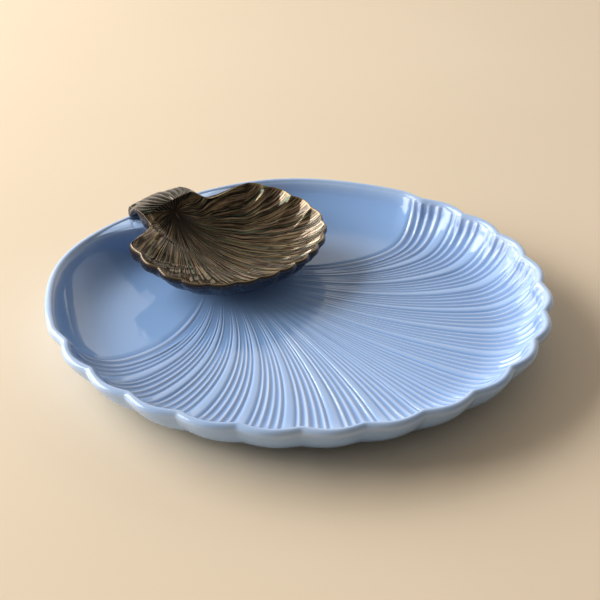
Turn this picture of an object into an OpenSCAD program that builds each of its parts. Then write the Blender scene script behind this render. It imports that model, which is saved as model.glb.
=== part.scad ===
// Chip and dip platter: a round platter shaped like a scallop shell and a loose
// shell-shaped dip bowl whose hinge hooks over the platter's rim.
// Millimetres, +Z up. The table is z = 0, the hinges of both shells look towards +Y.

/* [Platter] */
// Diameter over the lobes of the rim
platter_d = 380; // [340:5:430]
// Thickness of the platter's wall and floor
platter_wall = 6.5; // [5:0.5:9]
// Height of the platter's wall above its floor
wall_rise = 26; // [20:1:32]
// Radius of the sweep from the floor up into the wall
wall_sweep = 46; // [40:1:60]
// Outer diameter of the foot ring
foot_d = 236; // [180:2:260]
// Width of the foot ring
foot_w = 9; // [6:0.5:14]
// Height of the foot ring below the floor
foot_h = 3; // [2:0.5:6]

/* [Platter shell] */
// Number of lobes along the rim, even so that a cusp lies on the axis
lobe_count = 16; // [12:2:18]
// Angle of rim that one lobe takes
lobe_angle = 13.2; // [11:0.1:13.6]
// Depth of the cusps between the lobes
lobe_depth = 4.5; // [2:0.5:7]
// Depth by which the rim is flattened at the hinge
hinge_flat = 5; // [0:0.5:8]
// Bulge of the rim between the last lobe and each scroll
shoulder_out = 3.5; // [0:0.5:5]
// Distance from the middle to the point where the ribs begin
fan_y = 110; // [90:2:120]
// Angle between the axis and the outermost rib where it begins
fan_spread = 36; // [28:1:44]
// Height of the ribs from groove to crest
rib_depth = 1.6; // [0.8:0.1:2.4]

/* [Platter scrolls] */
// Angle along the rim from the hinge to the middle of each scroll
scroll_bearing = 10.5; // [9:0.5:14]
// Diameter of the scrolls that the rolled lip ends in beside the hinge
scroll_d = 23; // [16:1:26]
// Angle of rim over which the lip widens into a scroll
scroll_sweep = 18; // [12:1:24]

/* [Bowl] */
// Width of the dip bowl
bowl_w = 164; // [140:2:172]
// Distance from the bowl's middle to its front edge
bowl_front = 63; // [54:1:70]
// Distance from the bowl's middle to its back edge
bowl_back = 62; // [54:1:66]
// Distance from the bowl's middle to the crest that the hook leaves from
crest_back = 71; // [66:1:76]
// Height of the bowl's front edge above its foot
bowl_h = 30; // [24:1:33]
// Rise of the bowl's edge at its two ears above the hook's end
ear_rise = 8; // [2:0.5:10]
// Depth by which the back edge is hollowed between each ear and the hook
ear_hollow = 4.5; // [0:0.5:6]
// Thickness of the bowl's floor
bowl_floor = 5; // [4:0.5:7]
// Upright thickness of the bowl's edge
edge_t = 5.5; // [4.5:0.5:7]
// Diameter of the bowl's foot
bowl_foot_d = 62; // [44:2:66]
// Height of the bowl's foot
bowl_foot_h = 2; // [1.5:0.5:4]
// Number of lobes along the bowl's edge
bowl_lobes = 14; // [10:2:18]
// Depth of the cusps along the bowl's edge
bowl_lobe_depth = 2.5; // [1:0.5:4]
// Height of the bowl's ribs from groove to crest
bowl_rib_depth = 1.6; // [0.8:0.1:2.4]
// Turn of the bowl away from the platter's axis
bowl_turn = 11; // [0:1:13]

/* [Hook] */
// Width of the hook where it leaves the bowl
hook_w = 56; // [46:2:62]
// Length of the neck between the crest and the room for the rim
neck_l = 14; // [12:1:20]
// Room inside the hook for the rim and for the bowl's turn
hook_gap = 19; // [18:1:23]
// Reach of the hook's sides beyond the middle of the rim
hook_over = 5; // [3:0.5:8]
// Width of the tongue that the leg hangs from outside the rim
leg_w = 32; // [28:1:40]
// Thickness of the leg
hook_leg = 5; // [4:0.5:7]
// Depth of the leg's end below the top of the rim
hook_drop = 8; // [5:1:12]
// Thickness of the hook over the rim
hook_t = 3; // [2.5:0.5:6]
// Rise of the hook's crest above its end
hook_crown = 10; // [6:0.5:12]
// Number of ribs along the hook
hook_ribs = 10; // [6:1:12]
// Place of the hook along the rim, as an angle from the platter's hinge
hook_bearing = 3; // [0:1:5]

/* [Fit] */
// Gap between the bowl's foot and the platter's floor
seat_gap = 0.3; // [0.2:0.1:1]
// Gap between the hook and the top of the rim
rim_gap = 0.6; // [0.4:0.1:3]

/* [Hidden] */

// Each bundle of fine ribs fills this share of a lobe on either side of a cusp
bundle = 0.36;
platter_fine_ribs = 4;
bowl_fine_ribs = 2;
// The bowl's inside is a squashed cap of a sphere, and so is its outside,
// each taking this much of the half sphere
fullness = 0.95;
outer_fullness = 0.985;
// Exponents of the bowl's square back, of the tongues of the hook and leg, and of their blend with the bowl
back_power = 2.8;
tongue_power = 6;
blend_power = 12;
// Exponent of the hook's fall from its crest to its end, and height of its sides as a share of its middle's
arch_power = 2.6;
side_share = 0.95;
// The platter's ribs spread slowly at first, and their straight lead shortens towards the sides
spread_power = 1.4;
lead_loss = 40;
// The bowl's ribs begin on its back wall, at this share of the way from its middle to its crest
bowl_fan_share = 0.93;
bowl_spread = 58;
// Angles about the bowl's middle from the front to the last lobe, to the ear's tip and to the root of the hook
ear_angle = 112;
ear_tip = 124;
root_angle = 156;
// The tip stands out this far over this angle on either side, and the notch beside the hook rises this far
ear_point = 2.5;
ear_width = 10;
notch_rise = 3.5;
notch_width = 6;
// The leg hangs full over the first share of its tongue's half width and is gone at the second
leg_full = 0.5;
leg_gone = 0.85;
// Shares of the way from the crest to the hook's end: the hollow underneath is full at the first,
// and the hook's back rounds down to the rim between the other two
hollow_full = 0.3;
round_start = 0.35;
round_full = 0.65;
// The flattening of the rim begins at this angle from its front
hinge_start = 135;
// Middle and half width of the bulge along the rim
shoulder_mid = 147;
shoulder_half = 28;
foot_draft = 1.5;
plain_step = 6;
scroll_step = 1.5;
sink = 1;
far = 1000;

platter_r = platter_d / 2;
lip_r = platter_wall / 2;
wall_slope = acos(1 - wall_rise / wall_sweep);
floor_z = foot_h + platter_wall;
lip_z = floor_z + wall_rise - lip_r * cos(wall_slope);
rim_top = lip_z + lip_r;
floor_r = platter_r - lip_r * (1 + sin(wall_slope)) - wall_sweep * sin(wall_slope);
fan_half = lobe_count * lobe_angle / 2;
scroll_start = 180 - scroll_bearing - scroll_sweep;

bowl_z = floor_z + seat_gap;
inner_z = bowl_z + bowl_foot_h + bowl_floor;
front_z = bowl_z + bowl_h;
under_z = rim_top + rim_gap;
side_z = under_z + hook_t;
tip_z = rim_top - hook_drop;
hook_mid = crest_back + neck_l + hook_gap / 2;
hook_reach = hook_mid + hook_gap / 2 + hook_leg;
edge_bulge = edge_t / 3;
bowl_lobe_angle = 2 * ear_angle / bowl_lobes;
fan_p = crest_back * bowl_fan_share;
hook_point = (rim_r(180 - hook_bearing) - lip_r) * [-sin(hook_bearing), cos(hook_bearing)];
bowl_xy = hook_point - hook_mid * [-sin(bowl_turn), cos(bowl_turn)];

function clamp01(x) = max(0, min(1, x));
function mix(a, b, t) = a + (b - a) * t;
function smooth(a, b, x) = let (t = clamp01((x - a) / (b - a))) t * t * (3 - 2 * t);
function bend(a, b, c, t) = (1 - t) * (1 - t) * a + 2 * t * (1 - t) * b + t * t * c;

// Plan point at radius r and angle a, which is 0 at the front and grows towards +X
function polar(r, a) = [r * sin(a), -r * cos(a)];
function angle_of(p) = atan2(p.x, -p.y);

// Cusps lie at whole numbers of k, and each lobe swells out between two of them
function cusp(k) = 1 - abs(sin(180 * k));
function to_cusp(k) = abs(k - round(k));

// Section across the ribs: fine ribs around each cusp and one broad rib between them
function ribs(k, count) =
    let (s = to_cusp(k))
    s < bundle
        ? -cos(180 * count * s / bundle) / 2
        : sin(90 * (s - bundle) / (0.5 - bundle)) - 0.5;

// Places of the columns of points within one lobe, at each groove and each crest
function rib_places(count) = concat([for (i = [0:2 * count]) bundle * (i / count - 1)], [0.5]);

// Closed skin through rings of points, from a point on top to a point underneath
module skin(rings, top, under) {
    n = len(rings[0]);
    last = len(rings) - 1;
    points = concat([top], [for (ring = rings) each ring], [under]);
    faces = concat(
        [for (j = [0:n - 1]) [0, 1 + (j + 1) % n, 1 + j]],
        [for (i = [0:last - 1], j = [0:n - 1])
            let (a = 1 + i * n + j, b = 1 + i * n + (j + 1) % n)
            each [[a, b, b + n], [a, b + n, a + n]]],
        [for (j = [0:n - 1]) [1 + last * n + j, 1 + last * n + (j + 1) % n, len(points) - 1]]
    );
    polyhedron(points = points, faces = faces);
}

// Platter

function rim_cusp(a) = abs(a) < fan_half
    ? cusp(a / lobe_angle)
    : 1 - smooth(fan_half, fan_half + lobe_angle / 2, abs(a));
function shoulder(a) = shoulder_out * smooth(shoulder_half, 0, abs(abs(a) - shoulder_mid));
function rim_r(a) =
    platter_r - lobe_depth * rim_cusp(a) - hinge_flat * smooth(hinge_start, 180, abs(a)) + shoulder(a);
function inner_r(a) = rim_r(a) - lip_r * (1 + sin(wall_slope));

// Depth of a plan point inside the outline of the nearer scroll and of the lip that runs into it
function scroll_depth(p) =
    let (
        a = abs(angle_of(p)),
        middle = polar(inner_r(180) - scroll_d / 2, 180 - scroll_bearing),
        lip = scroll_d * pow(clamp01((a - scroll_start) / scroll_sweep), 2)
    )
    a > 180 - scroll_bearing
        ? scroll_d / 2 - norm([abs(p.x), p.y] - middle)
        : norm(p) - inner_r(a) + lip;

// Height of the floor, of the inside of the wall and of the scrolls, without ribs
function platter_top(p) =
    let (
        share = clamp01((norm(p) - floor_r) / (inner_r(angle_of(p)) - floor_r)),
        dish = floor_z + wall_sweep * (1 - cos(asin(share * sin(wall_slope))))
    )
    mix(dish, floor_z + wall_rise, smooth(-scroll_d / 4, scroll_d / 8, scroll_depth(p)));

// Curved line from the start of the fan to the rim at angle a
function platter_ray(a, t) =
    let (
        fan = min(1, abs(a) / fan_half),
        plain = max(0, (abs(a) - fan_half) / (180 - fan_half)),
        start = [0, fan_y],
        heading = sign(a) * (fan_spread * pow(fan, spread_power) + (180 - fan_spread) * plain),
        lead = mix(platter_r - lead_loss * pow(fan, spread_power), (platter_r - fan_y) / 2, plain)
    )
    bend(start, start + polar(lead, heading), polar(inner_r(a), a), t);

function platter_ribs(a, t) = abs(a) > fan_half + bundle * lobe_angle
    ? 0
    : rib_depth * smooth(0.2, 0.45, t) * (1 - smooth(0.94, 1, t))
        * ribs(a / lobe_angle, platter_fine_ribs);

platter_columns = concat(
    [for (k = [-lobe_count / 2:lobe_count / 2], s = rib_places(platter_fine_ribs))
        let (a = (k + s) * lobe_angle)
        if (a < fan_half + (bundle + 0.01) * lobe_angle) a],
    [for (a = [fan_half + bundle * lobe_angle + plain_step / 2:plain_step:scroll_start]) a],
    [for (a = [scroll_start + scroll_step:scroll_step:359 - scroll_start]) a > 180 ? a - 360 : a],
    [for (a = [-scroll_start:plain_step:-fan_half - (bundle + 0.2) * lobe_angle]) a]
);
platter_rows = [0.1, 0.2, 0.3, 0.4, 0.5, 0.6, 0.7, 0.78, 0.85, 0.91, 0.96, 1];

module platter() {
    top_rings = [for (t = platter_rows) [for (a = platter_columns)
        let (p = platter_ray(a, t)) [p.x, p.y, platter_top(p) + platter_ribs(a, t)]]];
    lip_rings = [for (turn = [135, 90, 45, 0]) [for (a = platter_columns)
        let (tilt = wall_slope - 90 + turn, p = polar(rim_r(a) - lip_r + lip_r * cos(tilt), a))
        [p.x, p.y, lip_z + lip_r * sin(tilt)]]];
    wall_rings = [for (share = [0.75, 0.5, 0.25, 0]) [for (a = platter_columns)
        let (
            slope = wall_slope * share,
            r = mix(floor_r, inner_r(a), sin(slope) / sin(wall_slope)) + platter_wall * sin(slope),
            p = polar(r, a)
        )
        [p.x, p.y, floor_z + wall_sweep * (1 - cos(slope)) - platter_wall * cos(slope)]]];
    foot_rings = [for (ring = [
            [foot_d / 2 + foot_draft, foot_h],
            [foot_d / 2, -sink],
            [foot_d / 2 - foot_w, -sink],
            [foot_d / 2 - foot_w - foot_draft, foot_h]
        ]) [for (a = platter_columns) let (p = polar(ring[0], a)) [p.x, p.y, ring[1]]]];
    color("cornflowerblue")
    difference() {
        skin(concat(top_rings, lip_rings, wall_rings, foot_rings), [0, fan_y, floor_z], [0, 0, foot_h]);
        translate([-far / 2, -far / 2, -far]) cube(far);
    }
}

// Dip bowl, in its own frame: its middle on the origin, its hinge towards +Y

function superellipse(a, w, l, power) =
    pow(pow(abs(sin(a)) / w, power) + pow(abs(cos(a)) / l, power), -1 / power);
function bowl_round(a) = abs(a) < 90
    ? superellipse(a, bowl_w / 2, bowl_front, 2)
    : superellipse(a, bowl_w / 2, bowl_back, mix(2, back_power, smooth(90, 110, abs(a))));
function bowl_cusp(a) = abs(a) < ear_angle
    ? cusp(a / bowl_lobe_angle)
    : 1 - smooth(ear_angle, ear_angle + bowl_lobe_angle / 2, abs(a));
function ear_shape(a) = ear_point * clamp01(1 - abs(a - ear_tip) / ear_width)
    - ear_hollow * sin(180 * clamp01((a - ear_tip) / (root_angle - ear_tip)));
function bowl_edge(a) = bowl_round(a) - bowl_lobe_depth * bowl_cusp(a) + ear_shape(abs(a))
    + (crest_back - bowl_back) * smooth(root_angle - notch_width, root_angle + notch_width, abs(a));
function tongue(a, w, l) = abs(a) < 90 ? 0 : superellipse(a, w / 2, l, tongue_power);
function hook_outline(a) = max(tongue(a, hook_w, hook_mid + hook_over), tongue(a, leg_w, hook_reach));
function bowl_outline(a) =
    pow(pow(bowl_edge(a), blend_power) + pow(hook_outline(a), blend_power), 1 / blend_power);

function dome(q, full) = (1 - sqrt(1 - pow(full * min(1, q), 2))) / (1 - sqrt(1 - full * full));

// The hook is an arch, highest at its crest where it leaves the bowl, and its end comes down to the rim
function hook_back(p) = clamp01((p.y - crest_back) / (hook_reach - crest_back));
function hook_rise(p) =
    let (side = clamp01(2 * abs(p.x) / hook_w))
    hook_crown * (1 - pow(hook_back(p), arch_power)) * mix(side_share, 1, sqrt(1 - side * side));

// Height of the bowl's edge, and of the lower side of that edge
function edge_rise(a) =
    a < ear_tip
        ? ear_rise * smooth(ear_tip / 2, ear_tip, a)
        : mix(ear_rise, notch_rise, smooth(ear_tip, root_angle - notch_width, a));
function edge_z(a) =
    let (
        low = mix(front_z, side_z, smooth(0, ear_tip, abs(a))) + edge_rise(abs(a)),
        crest = side_z + hook_rise(polar(bowl_edge(a), a))
    )
    mix(low, crest, smooth(root_angle - notch_width, root_angle + notch_width, abs(a)));
function lower_z(a) = mix(edge_z(a) - edge_t, under_z, smooth(ear_angle, root_angle, abs(a)));

// The leg hangs from the middle of its tongue's end
function leg_share(a) = 1 - smooth(leg_full, leg_gone, hook_reach * abs(sin(a)) / (leg_w / 2));
function to_outline(p) = bowl_outline(angle_of(p)) - norm(p);
function to_end(p) =
    let (fall = clamp01(1 - to_outline(p) / (hook_leg + hook_gap / 2)))
    1 - sqrt(1 - fall * fall);

// Top of the hook: arched over the rim and rounded down at its back, in the middle down to the leg's end
function hook_cap(p) =
    mix(side_z + hook_rise(p), side_z, to_end(p) * smooth(round_start, round_full, hook_back(p)));
function hook_top(p) = mix(hook_cap(p), tip_z, leg_share(angle_of(p)) * to_end(p));
function hook_under(p) =
    let (
        hollow = mix(under_z, hook_cap(p) - hook_t, smooth(0, hollow_full, hook_back(p))),
        drop = 1 - smooth(hook_leg / 2, hook_leg, to_outline(p))
    )
    mix(hollow, tip_z - hook_t, leg_share(angle_of(p)) * drop);

function bowl_top(p) =
    let (a = angle_of(p), q = norm(p) / bowl_edge(a), inside = mix(inner_z, edge_z(a), dome(q, fullness)))
    q < 1 ? inside : min(inside, hook_top(p));
function bowl_under(p) =
    let (a = angle_of(p), q = norm(p) / bowl_edge(a))
    q < 1 ? mix(bowl_z + bowl_foot_h, lower_z(a), dome(q, outer_fullness)) : hook_under(p);

// Curved line from the start of the bowl's ribs to its edge at angle a, lengthwise along the hook
function bowl_ray(a, t) =
    let (
        fan = min(1, abs(a) / ear_angle),
        back = max(0, (abs(a) - ear_angle) / (180 - ear_angle)),
        start = [0, fan_p],
        end = polar(bowl_outline(a), a),
        heading = sign(a) * (bowl_spread * fan + (180 - bowl_spread) * back),
        fanned = start + polar(norm(end - start) / 2, heading),
        lengthwise = [end.x, crest_back]
    )
    bend(start, mix(fanned, lengthwise, smooth(root_angle - 12, root_angle, abs(a))), end, t);

function bowl_ribs(a, t) = bowl_rib_depth * smooth(0.05, 0.35, t) * (1 - smooth(0.9, 1, t))
    * (abs(a) <= ear_angle ? ribs(a / bowl_lobe_angle, bowl_fine_ribs)
        : abs(a) < root_angle ? 0
        : -cos(180 * hook_ribs * (180 - abs(a)) / (180 - root_angle)) / 2);

hook_step = (180 - root_angle) / hook_ribs;
bowl_columns = concat(
    [for (k = [-bowl_lobes / 2:bowl_lobes / 2], s = rib_places(bowl_fine_ribs))
        let (a = (k + s) * bowl_lobe_angle)
        if (abs(a) < ear_angle + 0.1) a],
    [for (a = [ear_angle + 4:4:root_angle - 2]) a],
    [for (i = [-hook_ribs:hook_ribs]) i > 0 ? i * hook_step - 180 : 180 + i * hook_step],
    [for (a = [2 - root_angle:4:-ear_angle - 4]) a]
);
bowl_rows = [0.1, 0.2, 0.3, 0.4, 0.5, 0.6, 0.7, 0.8, 0.88, 0.95, 1];

module dip_bowl() {
    top_rings = [for (t = bowl_rows) [for (a = bowl_columns)
        let (p = bowl_ray(a, t)) [p.x, p.y, bowl_top(p) + bowl_ribs(a, t)]]];
    edge_rings = [for (share = [0.3, 0.7]) [for (a = bowl_columns)
        let (p = polar(bowl_outline(a), a), out = polar(bowl_outline(a) + edge_bulge, a))
        [out.x, out.y, mix(bowl_top(p), bowl_under(p), share)]]];
    lower_edge = [for (inset = [0, hook_leg / 2, hook_leg]) [for (a = bowl_columns)
        let (p = polar(bowl_outline(a) - inset, a)) [p.x, p.y, bowl_under(p)]]];
    under_rings = [for (t = [0.87, 0.8, 0.7, 0.6, 0.5]) [for (a = bowl_columns)
        let (p = polar(bowl_outline(a) * t, a)) [p.x, p.y, bowl_under(p)]]];
    foot_ring = [for (a = bowl_columns) let (p = polar(bowl_foot_d / 2, a)) [p.x, p.y, bowl_z]];
    color("saddlebrown")
    translate([bowl_xy.x, bowl_xy.y, 0])
    rotate(bowl_turn)
        skin(
            concat(top_rings, edge_rings, lower_edge, under_rings, [foot_ring]),
            [0, fan_p, bowl_top([0, fan_p])],
            [0, 0, bowl_z]
        );
}

// The hook reaches beyond the rim, and this moves the middle of the whole onto the origin
front_reach = max([for (a = platter_columns) rim_r(a) * cos(a)]);
back_reach = max([for (a = bowl_columns) -(bowl_outline(a) + edge_bulge) * cos(a + bowl_turn)]);
centre_y = (front_reach - bowl_xy.y - back_reach) / 2;

translate([0, centre_y, 0]) platter();
translate([0, centre_y, 0]) dip_bowl();
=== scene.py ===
import math

import bpy
import numpy as np
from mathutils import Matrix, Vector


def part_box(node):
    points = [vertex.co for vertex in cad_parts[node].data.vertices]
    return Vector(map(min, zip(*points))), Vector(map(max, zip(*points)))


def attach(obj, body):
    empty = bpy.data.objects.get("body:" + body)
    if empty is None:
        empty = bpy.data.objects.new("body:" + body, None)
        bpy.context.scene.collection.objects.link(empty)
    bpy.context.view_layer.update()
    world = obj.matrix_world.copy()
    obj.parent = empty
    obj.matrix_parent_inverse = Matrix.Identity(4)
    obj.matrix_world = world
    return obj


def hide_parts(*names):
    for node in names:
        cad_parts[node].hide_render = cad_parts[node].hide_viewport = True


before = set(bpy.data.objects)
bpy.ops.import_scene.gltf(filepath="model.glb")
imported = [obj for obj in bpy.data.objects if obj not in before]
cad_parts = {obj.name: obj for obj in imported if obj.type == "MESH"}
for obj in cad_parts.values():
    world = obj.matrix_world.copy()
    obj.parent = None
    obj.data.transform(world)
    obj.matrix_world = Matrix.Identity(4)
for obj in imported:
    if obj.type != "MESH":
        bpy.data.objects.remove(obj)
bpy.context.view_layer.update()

MM = 0.001
rng = np.random.default_rng(11)

# Platter, in millimetres and degrees about the middle of its rim, 0 at the front and +-180 at the hinge
PLATTER_R = 190.0
WALL = 6.5
WALL_RISE = 26.0
WALL_SWEEP = 46.0
FOOT_R = 118.0
FOOT_W = 9.0
FOOT_H = 3.0
FOOT_DRAFT = 1.5
LOBES = 16
LOBE_ANGLE = 13.2
LOBE_DEPTH = 4.5
HINGE_FLAT = 5.0
HINGE_START = 135.0
SHOULDER_OUT = 3.5
SHOULDER_MID = 147.0
SHOULDER_HALF = 28.0
FAN_Y = 110.0
FAN_SPREAD = 36.0
SPREAD_POWER = 1.4
LEAD_LOSS = 40.0
SCROLL_BEARING = 10.5
SCROLL_D = 23.0
SCROLL_SWEEP = 18.0
BUNDLE = 0.365
BUNDLE_SHIFT = 0.12
RIB_DEPTH = 1.25
RIB_LEVEL = 0.5
RIB_STEEPNESS = 0.2
RIB_GROWTH = 0.16
RIB_JITTER = 0.13
FINE_WIDTH = 0.45
FINE_STARTS = [0.10, 0.38, 0.32, 0.13]
BROAD_START = 0.1
FAN_BEGIN = 0.12
FAN_FULL = 0.42
PLATTER_SWELL = 0.15
CREASE_W = 0.9
CREASE_DEPTH = 0.35
CREASE_TURN = 640.0
CREASE_SHARE = 0.74
EYE_RING_R = 6.6
EYE_R = 1.6
SCROLL_CROWN = 1.2
FLOOR_TURN = 0.3
THIN_W = 7.0
# Width from the lip over which rib grooves get pooled glaze and painted shade
POOL_SHADE_W = 10.0
PLATTER_ROWS = 160
PLAIN_STEP = 1.0
SCROLL_STEP = 0.3

# Dip bowl, in millimetres and degrees about its own middle, 0 at the front and +-180 at the hook
BOWL_W = 164.0
BOWL_FRONT = 63.0
BOWL_BACK = 62.0
BOWL_H = 30.0
EAR_RISE = 8.0
EAR_TIP = 124.0
EAR_POINT = 2.5
EAR_WIDTH = 10.0
EAR_HOLLOW = 4.5
BOWL_CREST = 71.0
BOWL_FLOOR = 5.0
EDGE_T = 5.5
BOWL_FOOT_R = 31.0
BOWL_FOOT_H = 2.0
BOWL_LOBES = 14
BOWL_LOBE_DEPTH = 2.5
BOWL_TURN = 11.0
HOOK_W = 56.0
NECK_L = 14.0
HOOK_GAP = 19.0
HOOK_OVER = 5.0
LEG_W = 32.0
HOOK_LEG = 5.0
HOOK_DROP = 8.0
HOOK_T = 3.0
HOOK_CROWN = 10.0
HOOK_RIBS = 12
HOOK_BEARING = 3.0
SEAT_GAP = 0.3
RIM_GAP = 0.6
FULLNESS = 0.95
OUTER_FULLNESS = 0.985
BACK_POWER = 2.8
TONGUE_POWER = 6.0
BLEND_POWER = 12.0
BOWL_FAN_SHARE = 0.93
BOWL_RIB_DEPTH = 1.3
HOOK_RIB_DEPTH = 0.8
FLUTE_DEPTH = 1.4
BOWL_SPREAD = 58.0
EAR_ANGLE = 112.0
ROOT_ANGLE = 156.0
LEG_FULL = 0.5
LEG_GONE = 0.85
NOTCH_RISE = 3.5
NOTCH_WIDTH = 6.0
ARCH_POWER = 2.6
SIDE_SHARE = 0.95
HOLLOW_FULL = 0.3
ROUND_START = 0.35
ROUND_FULL = 0.65
ROOT_BLEND = 12.0
BOWL_SWELL = 0.55
FLUTE_LEVEL = 0.4
# Tone of the lustre between rib crests, and how much darker it is on the hook
RIB_TONE_LEVEL = 0.35
HOOK_RIB_TONE = 0.25
BOWL_ROWS = 140
SIDE_STEP = 0.6
HOOK_STEP = 0.2

# Points across a rib, and where the rows of points begin between the pole (0) and the rim (1)
PER_FINE = 9
PER_BROAD = 12
FIRST_ROW = 0.012


def sind(a):
    return np.sin(np.radians(a))


def cosd(a):
    return np.cos(np.radians(a))


def mix(a, b, t):
    return a + (b - a) * t


def smooth(a, b, x):
    t = np.clip((x - a) / (b - a), 0, 1)
    return t * t * (3 - 2 * t)


def polar(r, a):
    return np.stack([r * sind(a), -r * cosd(a)], -1)


def angle_of(p):
    return np.degrees(np.arctan2(p[..., 0], -p[..., 1]))


def radius_of(p):
    return np.hypot(p[..., 0], p[..., 1])


def bend(a, b, c, t):
    """Quadratic curve from a over b to c, for a column t of shares and rows of points."""
    t = t[:, None, None]
    return (1 - t) ** 2 * a + 2 * t * (1 - t) * b + t ** 2 * c


def lift(p, z):
    return np.concatenate([p, np.broadcast_to(z, p.shape[:-1])[..., None]], -1)


def cusp(k):
    """1 at whole numbers of k and 0 half way between, with a softened point."""
    return 1 - np.sqrt(np.sin(np.pi * k) ** 2 + 0.006)


# Derived sizes
LIP_R = WALL / 2
WALL_SLOPE = math.degrees(math.acos(1 - WALL_RISE / WALL_SWEEP))
FLOOR_Z = FOOT_H + WALL
LIP_Z = FLOOR_Z + WALL_RISE - LIP_R * cosd(WALL_SLOPE)
RIM_TOP = LIP_Z + LIP_R
LIP_IN = LIP_R * (1 + sind(WALL_SLOPE))
FLOOR_R = PLATTER_R - LIP_IN - WALL_SWEEP * sind(WALL_SLOPE)
FAN_HALF = LOBES * LOBE_ANGLE / 2
SCROLL_START = 180 - SCROLL_BEARING - SCROLL_SWEEP

BOWL_Z = FLOOR_Z + SEAT_GAP
INNER_Z = BOWL_Z + BOWL_FOOT_H + BOWL_FLOOR
FRONT_Z = BOWL_Z + BOWL_H
UNDER_Z = RIM_TOP + RIM_GAP
SIDE_Z = UNDER_Z + HOOK_T
TIP_Z = RIM_TOP - HOOK_DROP
HOOK_MID = BOWL_CREST + NECK_L + HOOK_GAP / 2
HOOK_REACH = HOOK_MID + HOOK_GAP / 2 + HOOK_LEG
EDGE_BULGE = EDGE_T / 3
BOWL_LOBE_ANGLE = 2 * EAR_ANGLE / BOWL_LOBES
FAN_P = BOWL_CREST * BOWL_FAN_SHARE


# Meshes

def normals_of(grid):
    """Unit normals of a grid of points whose columns close in a ring, pointing up."""
    along = np.gradient(grid, axis=0)
    across = np.roll(grid, -1, axis=1) - np.roll(grid, 1, axis=1)
    n = np.cross(across, along)
    n /= np.maximum(np.linalg.norm(n, axis=-1, keepdims=True), 1e-9)
    return n * np.where(n[..., 2:] < 0, -1, 1)


def skin(name, rings, top, under, fields):
    """Closed smooth mesh through rings of points, with a pole at each end, and its per-point fields."""
    m, n, _ = rings.shape
    points = np.concatenate([[top], rings.reshape(-1, 3), [under]]) * MM
    j = np.arange(n)
    k = (j + 1) % n
    i = np.arange(m - 1)[:, None] * n + 1
    quads = np.stack([i + j, i + n + j, i + n + k, i + k], -1).reshape(-1, 4)
    cap = np.stack([np.zeros(n, int), 1 + j, 1 + k], -1)
    last = 1 + (m - 1) * n
    base = np.stack([last + j, np.full(n, m * n + 1), last + k], -1)
    mesh = bpy.data.meshes.new(name)
    mesh.from_pydata(points.tolist(), [], quads.tolist() + cap.tolist() + base.tolist())
    mesh.shade_smooth()
    for key, values in fields.items():
        flat = np.concatenate([[values[0].mean()], values.reshape(-1), [values[-1].mean()]])
        mesh.attributes.new(key, "FLOAT", "POINT").data.foreach_set("value", flat.astype(np.float32))
    piece = bpy.data.objects.new(name, mesh)
    bpy.context.collection.objects.link(piece)
    return piece


class Ribs:
    """Ribs side by side along a rim, with the columns of points across them.

    Each rib has an edge on either side, as a place along the rim, a height, and a start along its length,
    and it loses up to the share swell of its height along the way.
    """

    def __init__(self, places, broad, start, swell):
        count = len(places) - 1
        jitter = rng.uniform(-RIB_JITTER, RIB_JITTER, count + 1) * np.min(np.diff(places))
        jitter[[0, -1]] = 0
        self.edges = places + jitter
        self.broad = broad
        self.height = np.where(broad, rng.uniform(0.85, 1.0, count), rng.uniform(0.7, 1.0, count))
        self.start = start + rng.uniform(-0.05, 0.05, count)
        self.swell = swell
        self.phase = rng.random(count)

    def columns(self, per_fine, per_broad):
        """Place of each column along the rim, and the rib and the share across it that it lies at."""
        place, rib, share = [], [], []
        for i, (a, b) in enumerate(zip(self.edges[:-1], self.edges[1:])):
            n = per_broad if self.broad[i] else per_fine
            u = np.arange(n) / n
            place.append(a + (b - a) * u)
            rib.append(np.full(n, i))
            share.append(u)
        return np.concatenate(place), np.concatenate(rib), np.concatenate(share)

    def crest(self, rib, share, t):
        """Height above the ground between the ribs, from 0 to 1, for rows t along the columns."""
        middle = 2 * share - 1
        across = np.where(self.broad[rib], 1 - np.abs(middle) ** 4, np.exp(-((middle / FINE_WIDTH) ** 2)))
        start = self.start[rib]
        swell = 1 - self.swell * (1 + np.sin(2 * np.pi * (2.3 * t[:, None] + self.phase[rib]))) / 2
        return smooth(start, start + RIB_GROWTH, t[:, None]) * self.height[rib] * across * swell


def rib_depth(edge_plan, rib, most):
    """Depth of each column's rib, no more than its width allows, from the plan lines of the ribs' edges."""
    width = np.linalg.norm(np.diff(edge_plan, axis=1), axis=-1)
    return np.minimum(most, RIB_STEEPNESS * width)[:, rib]


def fan_places(lobes, bundle, shift):
    """Edges and starts of the ribs over that many lobes: fine ones at each cusp, a broad one between."""
    half = lobes // 2
    places, broad, starts = [], [], []
    for c in range(-half, half + 1):
        middle = c - shift * np.sign(c)
        places.extend(np.linspace(middle - bundle, middle + bundle, len(FINE_STARTS) + 1))
        broad.extend([False] * len(FINE_STARTS) + [True])
        starts.extend(FINE_STARTS + [BROAD_START])
    return np.array(places), np.array(broad[:-1]), np.array(starts[:-1])


def uneven_places(half):
    """Edges and starts of ribs of uneven width, from -half to half."""
    steps = rng.uniform(0.2, 0.62, int(2 * half / 0.4))
    places = np.concatenate([[0], np.cumsum(steps)])
    places = places / places[-1] * 2 * half - half
    return places, np.zeros(len(steps), bool), rng.uniform(0.04, 0.36, len(steps))


# Platter

def rim_cusp(a):
    fade = 1 - smooth(FAN_HALF, FAN_HALF + LOBE_ANGLE / 2, np.abs(a))
    return np.where(np.abs(a) < FAN_HALF, cusp(a / LOBE_ANGLE), fade * cusp(0.0))


def rim_r(a):
    shoulder = SHOULDER_OUT * smooth(SHOULDER_HALF, 0, np.abs(np.abs(a) - SHOULDER_MID))
    flat = HINGE_FLAT * smooth(HINGE_START, 180, np.abs(a))
    return PLATTER_R - LOBE_DEPTH * rim_cusp(a) - flat + shoulder


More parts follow.
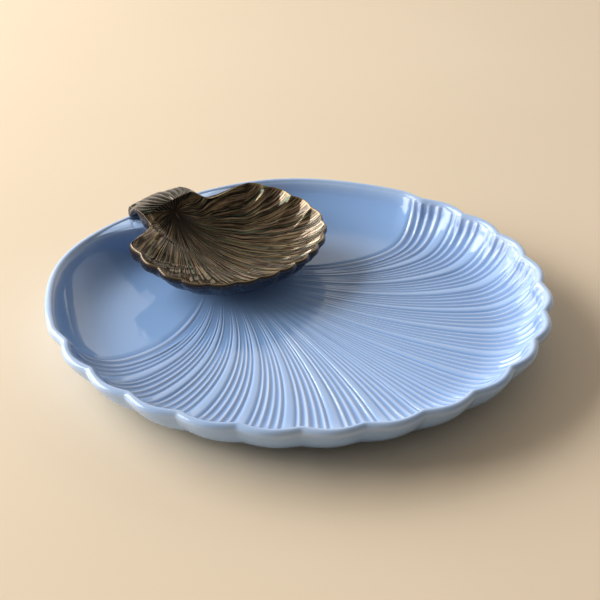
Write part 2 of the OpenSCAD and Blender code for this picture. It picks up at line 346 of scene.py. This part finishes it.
def inner_r(a):
    return rim_r(a) - LIP_IN


def tongue_width(a):
    """How far the lip reaches inwards beside the hinge, where it widens into a scroll."""
    return SCROLL_D * np.clip((np.abs(a) - SCROLL_START) / SCROLL_SWEEP, 0, 1) ** 2


SCROLL_EYE = polar(inner_r(np.float64(180)) - SCROLL_D / 2, 180 - SCROLL_BEARING)


def scroll_depth(p):
    a = np.abs(angle_of(p))
    mirrored = np.stack([np.abs(p[..., 0]), p[..., 1]], -1)
    in_round = SCROLL_D / 2 - np.linalg.norm(mirrored - SCROLL_EYE, axis=-1)
    in_lip = radius_of(p) - inner_r(a) + tongue_width(a)
    return np.where(a > 180 - SCROLL_BEARING, in_round, in_lip)


def soften(x, width):
    """x where it is well above 0 and 0 well below, with a round turn between."""
    return (x + np.sqrt(x * x + width * width)) / 2


def platter_top(p):
    share = (radius_of(p) - FLOOR_R) / (inner_r(angle_of(p)) - FLOOR_R)
    share = np.minimum(1, soften(share, FLOOR_TURN) / soften(1.0, FLOOR_TURN))
    dish = FLOOR_Z + WALL_SWEEP * (1 - np.cos(np.arcsin(share * sind(WALL_SLOPE))))
    depth = scroll_depth(p)
    roll = FLOOR_Z + WALL_RISE + SCROLL_CROWN * smooth(0, SCROLL_D / 2, depth)
    return mix(dish, roll, smooth(-SCROLL_D / 4, SCROLL_D / 8, depth))


def platter_ray(a, t):
    fan = np.minimum(1, np.abs(a) / FAN_HALF)
    plain = np.maximum(0, (np.abs(a) - FAN_HALF) / (180 - FAN_HALF))
    start = np.array([0, FAN_Y])
    heading = np.sign(a) * (FAN_SPREAD * fan ** SPREAD_POWER + (180 - FAN_SPREAD) * plain)
    lead = mix(PLATTER_R - LEAD_LOSS * fan ** SPREAD_POWER, (PLATTER_R - FAN_Y) / 2, plain)
    return bend(start, start + polar(lead, heading), polar(inner_r(a), a), t)


def volute():
    """Plan line of the crease that runs along the tongue of the lip and curls into the scroll's eye."""
    a = np.linspace(SCROLL_START + 2, 180 - SCROLL_BEARING - 2.5, 30)
    along = polar(inner_r(a) - CREASE_SHARE * tongue_width(a), a)
    away = along[-1] - SCROLL_EYE
    begin = math.atan2(away[1], away[0])
    turn = np.linspace(0, 1, 70)
    ring = mix(np.hypot(*away), EYE_RING_R, smooth(0, 0.25, turn))
    r = mix(ring, EYE_R, smooth(0.6, 1, turn))
    phi = begin - turn * math.radians(CREASE_TURN)
    curl = SCROLL_EYE + np.stack([r * np.cos(phi), r * np.sin(phi)], -1)
    return np.concatenate([along, curl[1:]])


def groove(p, line, width):
    """1 on the line and 0 away from it, for plan points p on either side of the axis."""
    flat = np.stack([np.abs(p[..., 0]), p[..., 1]], -1).reshape(-1, 2)
    near = np.linalg.norm(flat - SCROLL_EYE, axis=-1) < 2.6 * SCROLL_D
    out = np.zeros(len(flat))
    q = flat[near]
    least = np.full(len(q), 1e9)
    for a, b in zip(line[:-1], line[1:]):
        u = np.clip(((q - a) @ (b - a)) / max((b - a) @ (b - a), 1e-9), 0, 1)
        least = np.minimum(least, np.linalg.norm(q - a - u[:, None] * (b - a), axis=-1))
    out[near] = np.exp(-((least / width) ** 2))
    return out.reshape(p.shape[:-1])


def build_platter():
    ribs = Ribs(*fan_places(LOBES, BUNDLE, BUNDLE_SHIFT), PLATTER_SWELL)
    place, rib, share = ribs.columns(PER_FINE, PER_BROAD)
    fan_edge = ribs.edges[-1] * LOBE_ANGLE
    a = np.concatenate([
        place * LOBE_ANGLE,
        np.arange(fan_edge, SCROLL_START, PLAIN_STEP),
        np.arange(SCROLL_START, 360 - SCROLL_START, SCROLL_STEP),
        np.arange(360 - SCROLL_START, 360 - fan_edge - 0.4, PLAIN_STEP),
    ])
    a = np.where(a > 180, a - 360, a)
    t = 1 - (1 - np.linspace(FIRST_ROW, 1, PLATTER_ROWS)) ** 1.6

    plan = platter_ray(a, t)
    base = lift(plan, platter_top(plan))
    crest = np.full(plan.shape[:2], RIB_LEVEL)
    crest[:, :len(rib)] = ribs.crest(rib, share, t)
    to_lip = inner_r(a) - radius_of(plan)
    ribbed = smooth(FAN_BEGIN, FAN_FULL, t)[:, None] * smooth(0.2, 2.0, to_lip)
    depth = np.full(plan.shape[:2], RIB_DEPTH)
    depth[:, :len(rib)] = rib_depth(platter_ray(ribs.edges * LOBE_ANGLE, t), rib, RIB_DEPTH)
    line = groove(plan, volute(), CREASE_W)
    relief = depth * ribbed * (crest - RIB_LEVEL) - CREASE_DEPTH * line
    top_rings = base + normals_of(base) * relief[..., None]

    turns = np.linspace(180, 0, 15)[1:]
    tilt = WALL_SLOPE - 90 + turns
    lip = polar(rim_r(a) - LIP_R + LIP_R * cosd(tilt)[:, None], a)
    lip_rings = lift(lip, (LIP_Z + LIP_R * sind(tilt))[:, None])

    slope = WALL_SLOPE * np.linspace(1, 0, 26)[1:]
    share = (sind(slope) / sind(WALL_SLOPE))[:, None]
    wall = polar(mix(FLOOR_R, inner_r(a), share) + WALL * sind(slope)[:, None], a)
    wall_z = FLOOR_Z + WALL_SWEEP * (1 - cosd(slope)) - WALL * cosd(slope)
    wall_rings = lift(wall, wall_z[:, None])

    inside = FOOT_R - FOOT_W
    foot = np.array([
        [FOOT_R + FOOT_DRAFT + 3, FOOT_H], [FOOT_R + FOOT_DRAFT, FOOT_H - 0.2], [FOOT_R + 0.5, 1.0],
        [FOOT_R, 0.35], [FOOT_R - 0.8, 0], [FOOT_R - 1.4, 0], [inside + 1.4, 0], [inside + 0.8, 0],
        [inside, 0.35], [inside - 0.5, 1.0], [inside - FOOT_DRAFT, FOOT_H - 0.2],
        [inside - FOOT_DRAFT - 3, FOOT_H], [inside / 2, FOOT_H],
    ])
    foot_rings = np.stack([lift(polar(r, a), z) for r, z in foot])

    rings = np.concatenate([top_rings, lip_rings, wall_rings, foot_rings])
    on_ribs = np.zeros(len(a))
    on_ribs[:len(rib)] = 1
    # Grooves near the lip, rib grooves and the scroll's crease are darkened: glaze that pools there, plus
    # painted shade in those recesses
    pool_and_shade = np.zeros(rings.shape[:2])
    begun = on_ribs * smooth(FAN_BEGIN, FAN_FULL, t)[:, None]
    at_lip = on_ribs * (1 - crest) * smooth(POOL_SHADE_W, 1.5, to_lip)
    pool_and_shade[:len(t)] = at_lip + 0.6 * begun * (1 - crest) ** 3 + 0.45 * line
    # Rib crests are paler: glaze that thins there, plus a painted highlight along the crests
    pale = np.zeros(rings.shape[:2])
    pale[:len(t)] = begun * crest
    pale[:, :len(rib)] *= np.where(ribs.broad[rib], 0.42, 1)
    thin = np.zeros(rings.shape[:2])
    thin[:len(t)] = np.maximum(1 - smooth(0, THIN_W, to_lip), 0.8 * smooth(-2, 3, scroll_depth(plan)))
    thin[len(t):len(t) + len(turns)] = 1
    thin[len(t) + len(turns):-len(foot)] = 0.6 * smooth(0.7, 1, np.linspace(0, 1, len(slope)))[::-1, None]
    bare = np.zeros(rings.shape[:2])
    bare[-len(foot) + 3:-4] = 1
    fields = {"pool_and_shade": pool_and_shade, "pale": pale, "thin": thin, "bare": bare}
    return skin("platter_glazed", rings + OFFSET, np.array([0, FAN_Y, FLOOR_Z]) + OFFSET,
                np.array([0, 0, FOOT_H]) + OFFSET, fields)


FRONT_REACH = np.max(rim_r(np.arange(0, 30, 0.05)) * cosd(np.arange(0, 30, 0.05)))
OFFSET = np.array([0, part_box("platter")[0][1] / MM + FRONT_REACH, 0])


# Dip bowl

def superellipse(a, w, l, power):
    return ((np.abs(sind(a)) / w) ** power + (np.abs(cosd(a)) / l) ** power) ** (-1 / power)


def bowl_round(a):
    front = superellipse(a, BOWL_W / 2, BOWL_FRONT, 2)
    power = mix(2, BACK_POWER, smooth(90, 110, np.abs(a)))
    return np.where(np.abs(a) < 90, front, superellipse(a, BOWL_W / 2, BOWL_BACK, power))


def at_root(a):
    """0 along the bowl's edge and 1 along the hook's crest."""
    return smooth(ROOT_ANGLE - NOTCH_WIDTH, ROOT_ANGLE + NOTCH_WIDTH, a)


def bowl_edge(a):
    a = np.abs(a)
    fade = 1 - smooth(EAR_ANGLE, EAR_ANGLE + BOWL_LOBE_ANGLE / 2, a)
    dent = np.where(a < EAR_ANGLE, cusp(a / BOWL_LOBE_ANGLE), fade * cusp(0.0))
    point = np.clip(1 - np.abs(a - EAR_TIP) / EAR_WIDTH, 0, 1)
    hollow = np.sin(np.pi * np.clip((a - EAR_TIP) / (ROOT_ANGLE - EAR_TIP), 0, 1))
    out = (BOWL_CREST - BOWL_BACK) * at_root(a)
    return bowl_round(a) - BOWL_LOBE_DEPTH * dent + EAR_POINT * point - EAR_HOLLOW * hollow + out


def hook_outline(a):
    wide = superellipse(a, HOOK_W / 2, HOOK_MID + HOOK_OVER, TONGUE_POWER)
    leg = superellipse(a, LEG_W / 2, HOOK_REACH, TONGUE_POWER)
    return np.where(np.abs(a) < 90, 1e-3, np.maximum(wide, leg))


def bowl_outline(a):
    return (bowl_edge(a) ** BLEND_POWER + hook_outline(a) ** BLEND_POWER) ** (1 / BLEND_POWER)


def dome(q, full):
    return (1 - np.sqrt(1 - (full * np.minimum(1, q)) ** 2)) / (1 - math.sqrt(1 - full * full))


def hook_back(p):
    return np.clip((p[..., 1] - BOWL_CREST) / (HOOK_REACH - BOWL_CREST), 0, 1)


def hook_rise(p):
    side = np.clip(2 * np.abs(p[..., 0]) / HOOK_W, 0, 1)
    return HOOK_CROWN * (1 - hook_back(p) ** ARCH_POWER) * mix(SIDE_SHARE, 1, np.sqrt(1 - side * side))


def edge_z(a):
    a = np.abs(a)
    notch = mix(EAR_RISE, NOTCH_RISE, smooth(EAR_TIP, ROOT_ANGLE - NOTCH_WIDTH, a))
    rise = np.where(a < EAR_TIP, EAR_RISE * smooth(EAR_TIP / 2, EAR_TIP, a), notch)
    low = mix(FRONT_Z, SIDE_Z, smooth(0, EAR_TIP, a)) + rise
    return mix(low, SIDE_Z + hook_rise(polar(bowl_edge(a), a)), at_root(a))


def lower_z(a):
    return mix(edge_z(a) - EDGE_T, UNDER_Z, smooth(EAR_ANGLE, ROOT_ANGLE, np.abs(a)))


def leg_share(a):
    return 1 - smooth(LEG_FULL, LEG_GONE, HOOK_REACH * np.abs(sind(a)) / (LEG_W / 2))


def to_outline(p):
    return bowl_outline(angle_of(p)) - radius_of(p)


def to_end(p):
    fall = np.clip(1 - to_outline(p) / (HOOK_LEG + HOOK_GAP / 2), 0, 1)
    return 1 - np.sqrt(1 - fall * fall)


def hook_cap(p):
    round_off = to_end(p) * smooth(ROUND_START, ROUND_FULL, hook_back(p))
    return mix(SIDE_Z + hook_rise(p), SIDE_Z, round_off)


def hook_top(p):
    return mix(hook_cap(p), TIP_Z, leg_share(angle_of(p)) * to_end(p))


def hook_under(p):
    hollow = mix(UNDER_Z, hook_cap(p) - HOOK_T, smooth(0, HOLLOW_FULL, hook_back(p)))
    drop = 1 - smooth(HOOK_LEG / 2, HOOK_LEG, to_outline(p))
    return mix(hollow, TIP_Z - HOOK_T, leg_share(angle_of(p)) * drop)


def bowl_top(p):
    a = angle_of(p)
    q = radius_of(p) / bowl_edge(a)
    inside = mix(INNER_Z, edge_z(a), dome(q, FULLNESS))
    return np.where(q < 1, inside, np.minimum(inside, hook_top(p)))


def bowl_under(p):
    a = angle_of(p)
    q = radius_of(p) / bowl_edge(a)
    outside = mix(BOWL_Z + BOWL_FOOT_H, lower_z(a), dome(q, OUTER_FULLNESS))
    return np.where(q < 1, outside, hook_under(p))


def bowl_ray(a, t):
    fan = np.minimum(1, np.abs(a) / EAR_ANGLE)
    back = np.maximum(0, (np.abs(a) - EAR_ANGLE) / (180 - EAR_ANGLE))
    start = np.array([0, FAN_P])
    end = polar(bowl_outline(a), a)
    heading = np.sign(a) * (BOWL_SPREAD * fan + (180 - BOWL_SPREAD) * back)
    fanned = start + polar(np.linalg.norm(end - start, axis=-1) / 2, heading)
    lengthwise = np.stack([end[:, 0], np.full(len(a), BOWL_CREST)], -1)
    onto_hook = smooth(ROOT_ANGLE - ROOT_BLEND, ROOT_ANGLE, np.abs(a))[:, None]
    return bend(start, mix(fanned, lengthwise, onto_hook), end, t)


def place_bowl(points):
    """From the bowl's own frame to where it hangs on the rim."""
    r = rim_r(np.float64(180 - HOOK_BEARING)) - LIP_R
    hook_point = r * np.array([-sind(HOOK_BEARING), cosd(HOOK_BEARING)])
    middle = hook_point - HOOK_MID * np.array([-sind(BOWL_TURN), cosd(BOWL_TURN)])
    c, s = cosd(BOWL_TURN), sind(BOWL_TURN)
    x = c * points[..., 0] - s * points[..., 1] + middle[0]
    y = s * points[..., 0] + c * points[..., 1] + middle[1]
    return np.stack([x, y, points[..., 2]], -1) + OFFSET


def build_bowl():
    ribs = Ribs(*uneven_places(BOWL_LOBES / 2 + 2.3), BOWL_SWELL)
    place, rib, share = ribs.columns(PER_BROAD, PER_BROAD)
    fan_edge = ribs.edges[-1] * BOWL_LOBE_ANGLE
    a = np.concatenate([
        place * BOWL_LOBE_ANGLE,
        np.arange(fan_edge, ROOT_ANGLE, SIDE_STEP),
        np.arange(ROOT_ANGLE, 360 - ROOT_ANGLE, HOOK_STEP),
        np.arange(360 - ROOT_ANGLE, 360 - fan_edge - 0.3, SIDE_STEP),
    ])
    a = np.where(a > 180, a - 360, a)
    t = 1 - (1 - np.linspace(FIRST_ROW, 1, BOWL_ROWS)) ** 1.35

    plan = bowl_ray(a, t)
    base = lift(plan, bowl_top(plan))
    on_hook = (180 - np.abs(a)) / (180 - ROOT_ANGLE)
    hook_ribs = mix(RIB_LEVEL, np.abs(np.sin(np.pi * HOOK_RIBS * on_hook / 2)), smooth(0.95, 0.75, on_hook))
    crest = np.where(on_hook < 1, hook_ribs, RIB_LEVEL) * np.ones((len(t), 1))
    crest[:, :len(rib)] = ribs.crest(rib, share, t)
    ribbed = smooth(0.0, 0.14, t) * (1 - 0.8 * smooth(0.5, 0.85, t)) * (1 - smooth(0.95, 1, t))
    depth = np.full(crest.shape, HOOK_RIB_DEPTH)
    depth[:, :len(rib)] = rib_depth(bowl_ray(ribs.edges * BOWL_LOBE_ANGLE, t), rib, BOWL_RIB_DEPTH)
    flute = np.where(np.abs(a) < EAR_ANGLE, cusp(a / BOWL_LOBE_ANGLE), FLUTE_LEVEL) - FLUTE_LEVEL
    relief = depth * ribbed[:, None] * (crest - RIB_LEVEL)
    relief += FLUTE_DEPTH * flute * (smooth(0.45, 0.8, t) * (1 - smooth(0.93, 1, t)))[:, None]
    top_rings = base + normals_of(base) * relief[..., None]

    outline = bowl_outline(a)
    rim = polar(outline, a)
    round_edge = np.linspace(0, 180, 13)[1:-1]
    out = polar(outline + EDGE_BULGE * sind(round_edge)[:, None], a)
    edge_rings = lift(out, mix(bowl_top(rim), bowl_under(rim), ((1 - cosd(round_edge)) / 2)[:, None]))
    insets = np.linspace(0, HOOK_LEG, 7)
    lower = polar(outline - insets[:, None], a)
    lower_rings = lift(lower, bowl_under(lower))
    reach = mix(outline - HOOK_LEG, BOWL_FOOT_R + 1.0, np.linspace(0, 1, 40)[1:, None])
    under = polar(reach, a)
    under_rings = lift(under, bowl_under(under))
    foot = [(BOWL_FOOT_R, 0.6), (BOWL_FOOT_R - 0.4, 0.15), (BOWL_FOOT_R - 1.2, 0), (BOWL_FOOT_R - 3, 0)]
    foot_rings = np.stack([lift(polar(np.full(len(a), r), a), BOWL_Z + z) for r, z in foot])

    rings = np.concatenate([top_rings, edge_rings, lower_rings, under_rings, foot_rings])
    shape = rings.shape[:2]
    # Tone of the lustre: lighter on rib crests, nearly black in the grooves between them, darker on the
    # hook
    rib_tone = np.full(shape, RIB_TONE_LEVEL)
    rib_tone[:len(t)] = mix(RIB_TONE_LEVEL, crest, ribbed[:, None]) * np.where(on_hook < 1, HOOK_RIB_TONE, 1)
    inner = np.zeros(shape)
    inner[:len(t)] = 1
    inner[len(t):len(t) + len(round_edge)] = np.linspace(1, 0, len(round_edge) + 1)[1:, None]
    along = np.zeros(shape)
    along[:len(t)] = t[:, None]
    across = np.broadcast_to(a / BOWL_LOBE_ANGLE, shape).copy()
    rim_line = np.zeros(shape)
    rim_line[:len(t)] = smooth(1.6, 0.3, outline - radius_of(plan))
    over_edge = np.linspace(0, 1, len(round_edge))
    rim_line[len(t):len(t) + len(round_edge)] = smooth(0.45, 0.0, over_edge)[:, None]
    rim_line *= smooth(0.9, 1.2, on_hook)
    fields = {"crest": rib_tone, "inner": inner, "along": along, "across": across, "rim_line": rim_line}
    top_pole = np.array([0, FAN_P, bowl_top(np.array([[0, FAN_P]]))[0]])
    return skin("dip_bowl_glazed", place_bowl(rings), place_bowl(top_pole[None])[0],
                place_bowl(np.array([[0, 0, BOWL_Z]]))[0], fields)


# Materials

def new_material(name):
    material = bpy.data.materials.new(name)
    material.use_nodes = True
    tree = material.node_tree
    return material, tree, tree.nodes["Principled BSDF"]


def add(tree, kind, **values):
    """A node of that kind, with its properties and its unlinked inputs set."""
    node = tree.nodes.new(kind)
    for key, value in values.items():
        if key in node.inputs:
            node.inputs[key].default_value = value
        else:
            setattr(node, key, value)
    return node


def field(tree, name):
    return add(tree, "ShaderNodeAttribute", attribute_name=name).outputs["Fac"]


def maths(tree, operation, a, b=None):
    node = add(tree, "ShaderNodeMath", operation=operation)
    for socket, value in zip(node.inputs, (a, b)):
        if value is None:
            continue
        if isinstance(value, (int, float)):
            socket.default_value = value
        else:
            tree.links.new(value, socket)
    return node.outputs[0]


def noise(tree, scale, detail=3.0, rough=0.5, vector=None):
    node = add(tree, "ShaderNodeTexNoise", Scale=scale, Detail=detail, Roughness=rough)
    if vector is None:
        vector = add(tree, "ShaderNodeTexCoord").outputs["Object"]
    tree.links.new(vector, node.inputs["Vector"])
    return node.outputs["Fac"]


def ramp(tree, factor, stops):
    node = add(tree, "ShaderNodeValToRGB")
    node.color_ramp.elements[1].position = stops[-1][0]
    node.color_ramp.elements[0].position = stops[0][0]
    for place, _ in stops[1:-1]:
        node.color_ramp.elements.new(place)
    for element, (_, colour) in zip(node.color_ramp.elements, stops):
        element.color = (*colour, 1)
    tree.links.new(factor, node.inputs["Fac"])
    return node.outputs["Color"]


def ramp_value(tree, factor, low, high, bottom, top):
    node = add(tree, "ShaderNodeMapRange", clamp=True)
    node.inputs["From Min"].default_value = low
    node.inputs["From Max"].default_value = high
    node.inputs["To Min"].default_value = bottom
    node.inputs["To Max"].default_value = top
    tree.links.new(factor, node.inputs["Value"])
    return node.outputs["Result"]


def bump(tree, shader, height, strength, distance):
    node = add(tree, "ShaderNodeBump", Strength=strength, Distance=distance)
    tree.links.new(height, node.inputs["Height"])
    tree.links.new(node.outputs["Normal"], shader.inputs["Normal"])


def colour_mix(tree, factor, a, b):
    node = add(tree, "ShaderNodeMix", data_type="RGBA")
    tree.links.new(factor, node.inputs[0])
    for socket, value in ((node.inputs[6], a), (node.inputs[7], b)):
        if isinstance(value, tuple):
            socket.default_value = (*value, 1)
        else:
            tree.links.new(value, socket)
    return node.outputs[2]


def blue_glaze():
    """Glossy periwinkle glaze: deep where it pools in grooves and the crease, with painted shade there too,
    pale where it thins on rib crests, with a painted highlight there too, and pale where it thins on the
    lip.
    """
    material, tree, shader = new_material("blue_glaze")
    mottle = noise(tree, 38, 4, 0.6)
    cloud = noise(tree, 9, 2, 0.5)
    uneven = maths(tree, "MULTIPLY", maths(tree, "SUBTRACT", mottle, 0.5), 0.3)
    # Paler toward rib crests, for thin glaze and a painted highlight on the crests
    glaze = ramp(tree, maths(tree, "ADD", field(tree, "pale"), uneven), [
        (0.0, (0.325, 0.535, 0.92)), (0.55, (0.45, 0.60, 0.88)), (1.0, (0.58, 0.69, 0.89))])
    glaze = colour_mix(tree, ramp_value(tree, cloud, 0.35, 0.7, 0.0, 0.3), glaze, (0.29, 0.48, 0.87))
    # Deep blue of glaze pooled in grooves and the crease, which also paints the shade that falls there
    pooled_and_shaded = ramp_value(tree, field(tree, "pool_and_shade"), 0.15, 1.0, 0, 0.75)
    glaze = colour_mix(tree, pooled_and_shaded, glaze, (0.12, 0.23, 0.52))
    thin = maths(tree, "MULTIPLY", field(tree, "thin"), ramp_value(tree, mottle, 0.3, 0.7, 0.45, 0.9))
    glaze = colour_mix(tree, thin, glaze, (0.50, 0.64, 0.88))
    body = colour_mix(tree, field(tree, "bare"), glaze, (0.72, 0.66, 0.57))
    tree.links.new(body, shader.inputs["Base Color"])
    gloss = ramp_value(tree, noise(tree, 120, 3, 0.6), 0.3, 0.8, 0.05, 0.11)
    rough = maths(tree, "MAXIMUM", gloss, maths(tree, "MULTIPLY", field(tree, "bare"), 0.75))
    tree.links.new(rough, shader.inputs["Roughness"])
    shader.inputs["IOR"].default_value = 1.5
    bump(tree, shader, noise(tree, 90, 2, 0.5), 0.05, 0.001)
    return material


# Lobes from the front within which the bowl's field "across" passes from the dish onto the hook
HOOK_FADE = (9.2, 9.9)


def lustre_glaze():
    """Brown half-metallic lustre with film lines inside, darker on the hook, a tan line along the bowl's
    edge, and speckled navy outside."""
    material, tree, shader = new_material("lustre_glaze")
    place = add(tree, "ShaderNodeCombineXYZ")
    tree.links.new(maths(tree, "MULTIPLY", field(tree, "across"), 13.0), place.inputs["X"])
    tree.links.new(maths(tree, "MULTIPLY", field(tree, "along"), 3.2), place.inputs["Y"])
    streak = noise(tree, 1.0, 4, 0.65, place.outputs["Vector"])
    hue = noise(tree, 0.35, 2, 0.5, place.outputs["Vector"])
    mottle = noise(tree, 60, 4, 0.6)
    away = ramp_value(tree, field(tree, "along"), 0.04, 0.2, 0, 1)
    on_hook = maths(tree, "ABSOLUTE", field(tree, "across"))
    line = maths(tree, "MULTIPLY", ramp_value(tree, streak, 0.48, 0.61, 0, 1), away)
    line = maths(tree, "MULTIPLY", line, ramp_value(tree, on_hook, *HOOK_FADE, 1.0, 0.3))
    # Lustre from nearly black in the grooves to light brown on the rib crests
    lustre = ramp(tree, field(tree, "crest"), [
        (0.0, (0.006, 0.004, 0.002)), (0.3, (0.024, 0.014, 0.007)), (0.75, (0.16, 0.098, 0.052)),
        (1.0, (0.42, 0.31, 0.20))])
    film = ramp(tree, hue, [
        (0.36, (0.14, 0.28, 0.19)), (0.45, (0.42, 0.33, 0.16)), (0.52, (0.45, 0.32, 0.18)),
        (0.58, (0.56, 0.40, 0.30)), (0.66, (0.40, 0.35, 0.15))])
    lustre = colour_mix(tree, maths(tree, "MULTIPLY", line, 0.75), lustre, film)
    edge = ramp_value(tree, field(tree, "rim_line"), 0.4, 1, 0, 0.6)
    lustre = colour_mix(tree, edge, lustre, (0.26, 0.18, 0.08))
    speck = ramp_value(tree, noise(tree, 700, 3, 0.7), 0.5, 0.68, 0, 1)
    outside = colour_mix(tree, speck, (0.012, 0.019, 0.036), (0.11, 0.14, 0.20))
    tree.links.new(colour_mix(tree, field(tree, "inner"), outside, lustre), shader.inputs["Base Color"])
    tree.links.new(ramp_value(tree, field(tree, "inner"), 0, 1, 0.0, 0.48), shader.inputs["Metallic"])
    inside_rough = ramp_value(tree, mottle, 0.3, 0.75, 0.11, 0.16)
    rough = add(tree, "ShaderNodeMix", data_type="FLOAT")
    tree.links.new(field(tree, "inner"), rough.inputs[0])
    rough.inputs[2].default_value = 0.35
    tree.links.new(inside_rough, rough.inputs[3])
    tree.links.new(rough.outputs[0], shader.inputs["Roughness"])
    shader.inputs["IOR"].default_value = 1.35
    tree.links.new(ramp_value(tree, on_hook, *HOOK_FADE, 0.1, 0.0), shader.inputs["Coat Weight"])
    shader.inputs["Coat Roughness"].default_value = 0.1
    return material


# Stage

def build_floor():
    mesh = bpy.data.meshes.new("floor")
    half = 3.0
    corners = [(-half, -half, 0), (half, -half, 0), (half, half, 0), (-half, half, 0)]
    mesh.from_pydata(corners, [], [(0, 1, 2, 3)])
    floor = bpy.data.objects.new("floor", mesh)
    bpy.context.collection.objects.link(floor)
    material, tree, shader = new_material("pale_floor")
    tone = ramp(tree, noise(tree, 2.2, 3, 0.5), [(0.3, (0.84, 0.695, 0.515)), (0.7, (0.87, 0.725, 0.545))])
    tree.links.new(tone, shader.inputs["Base Color"])
    shader.inputs["Roughness"].default_value = 0.5
    shader.inputs["Specular IOR Level"].default_value = 0.15
    mesh.materials.append(material)


CAMERA_TURN = -40.0
CAMERA_PITCH = 30.14
CAMERA_PLACE = (0.37, -981.1, 595.9)
LENS = 90.0


def turned(p):
    """From axes that face the camera to the part's own axes, in metres."""
    c, s = cosd(CAMERA_TURN), sind(CAMERA_TURN)
    x, y, z = p
    return ((c * x - s * y) * MM, (s * x + c * y + OFFSET[1]) * MM, z * MM)


def build_camera():
    data = bpy.data.cameras.new("camera")
    data.lens = LENS
    camera = bpy.data.objects.new("camera", data)
    camera.location = turned(CAMERA_PLACE)
    camera.rotation_euler = (math.radians(90 - CAMERA_PITCH), 0, math.radians(CAMERA_TURN))
    bpy.context.collection.objects.link(camera)
    bpy.context.scene.camera = camera


def area_light(name, place, width, height, power, colour):
    data = bpy.data.lights.new(name, "AREA")
    data.shape = "RECTANGLE"
    data.size = width
    data.size_y = height
    data.energy = power
    data.color = colour
    lamp = bpy.data.objects.new(name, data)
    lamp.location = turned(place)
    aim = np.array([0, 0, 0.02]) - np.array(lamp.location)
    yaw = math.atan2(-aim[0], aim[1])
    tilt = math.atan2(math.hypot(aim[0], aim[1]), -aim[2])
    lamp.rotation_euler = (tilt, 0, yaw)
    bpy.context.collection.objects.link(lamp)


def build_world():
    """A room that is brightest low down behind the part and on its left, and dim on its right."""
    world = bpy.data.worlds.new("soft_room")
    world.use_nodes = True
    tree = world.node_tree
    background = tree.nodes["Background"]
    background.inputs["Color"].default_value = (1.0, 0.92, 0.82, 1)
    facing = add(tree, "ShaderNodeVectorRotate", rotation_type="Z_AXIS", Angle=-math.radians(CAMERA_TURN))
    tree.links.new(add(tree, "ShaderNodeTexCoord").outputs["Generated"], facing.inputs["Vector"])
    axes = add(tree, "ShaderNodeSeparateXYZ")
    tree.links.new(facing.outputs["Vector"], axes.inputs["Vector"])
    back = ramp_value(tree, axes.outputs["Y"], 0.2, 0.85, 0.0, 1.0)
    low = ramp_value(tree, axes.outputs["Z"], 0.45, 0.75, 1.0, 0.15)
    left = ramp_value(tree, axes.outputs["X"], 0.3, -0.9, 0.0, 0.1)
    level = maths(tree, "ADD", maths(tree, "ADD", maths(tree, "MULTIPLY", back, low), left), 0.18)
    seen = add(tree, "ShaderNodeLightPath").outputs["Is Camera Ray"]
    level = maths(tree, "MAXIMUM", level, maths(tree, "MULTIPLY", seen, 0.8))
    tree.links.new(level, background.inputs["Strength"])
    bpy.context.scene.world = world


def build_light():
    area_light("window", (-2386, 729, 1271), 3.2, 1.7, 132.0, (1.0, 0.99, 0.97))
    bpy.context.scene.view_settings.view_transform = "Standard"


build_camera()
build_floor()
build_world()
build_light()

platter = build_platter()
platter.data.materials.append(blue_glaze())
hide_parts("platter")
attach(platter, "platter")

bowl = build_bowl()
bowl.data.materials.append(lustre_glaze())
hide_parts("dip_bowl")
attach(bowl, "dip_bowl")
